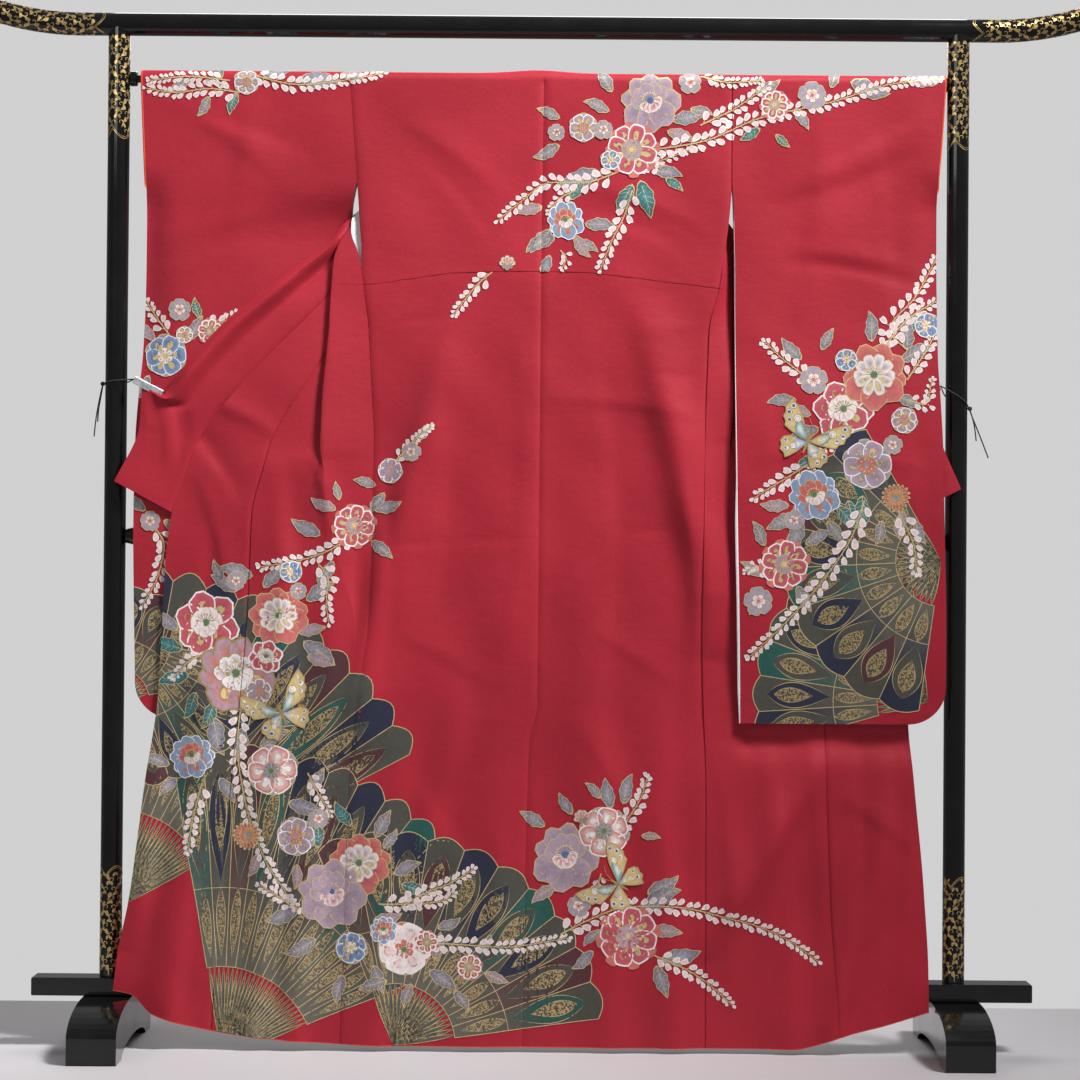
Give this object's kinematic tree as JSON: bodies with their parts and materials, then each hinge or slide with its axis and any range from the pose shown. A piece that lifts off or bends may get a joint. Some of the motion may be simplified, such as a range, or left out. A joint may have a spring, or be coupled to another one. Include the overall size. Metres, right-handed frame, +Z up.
{
  "type": "furisode on a kimono stand",
  "caption": "Long-sleeved kimono hung open, back outward, over the rail of a free-standing lacquered stand, with its fronts clipped out to the posts.",
  "frame": {"origin": "on the floor, midway between the posts and under the rail that carries the cloth", "axes": "+X to the viewer's right along the rails, +Y away from the viewer towards the garment's open front, +Z up"},
  "size_m": [1.9104, 0.4, 1.7521],
  "materials": {
    "cloth": "crepe silk",
    "edging": "smooth silk",
    "lining": "smooth silk",
    "lacquer": "gloss black lacquer",
    "clip": "satin",
    "cord": "matt"
  },
  "bodies": {
    "root": {"body_left": "cloth", "body_right": "cloth", "okumi_left": "cloth", "okumi_right": "cloth", "collar_cover_left": "cloth", "collar_cover_right": "cloth", "collar_left": "cloth", "collar_right": "cloth", "sleeve_left": "cloth", "sleeve_right": "cloth", "hem_edging_left": "edging", "hem_edging_right": "edging", "cuff_edging_left": "edging", "cuff_edging_right": "edging", "sleeve_lining_left": "lining", "sleeve_lining_right": "lining", "top_rail": "lacquer", "hanging_rail": "lacquer", "middle_rail": "lacquer", "post_left": "lacquer", "post_right": "lacquer", "stretcher": "lacquer", "foot_left": "lacquer", "foot_right": "lacquer", "clip_left": "clip", "clip_right": "clip", "tie_front_left": "cord", "tie_rear_left": "cord", "tie_knot_left": "cord", "tie_tail_left_1": "cord", "tie_tail_left_2": "cord", "tie_front_right": "cord", "tie_rear_right": "cord", "tie_knot_right": "cord", "tie_tail_right_1": "cord", "tie_tail_right_2": "cord"}
  },
  "joints": []
}
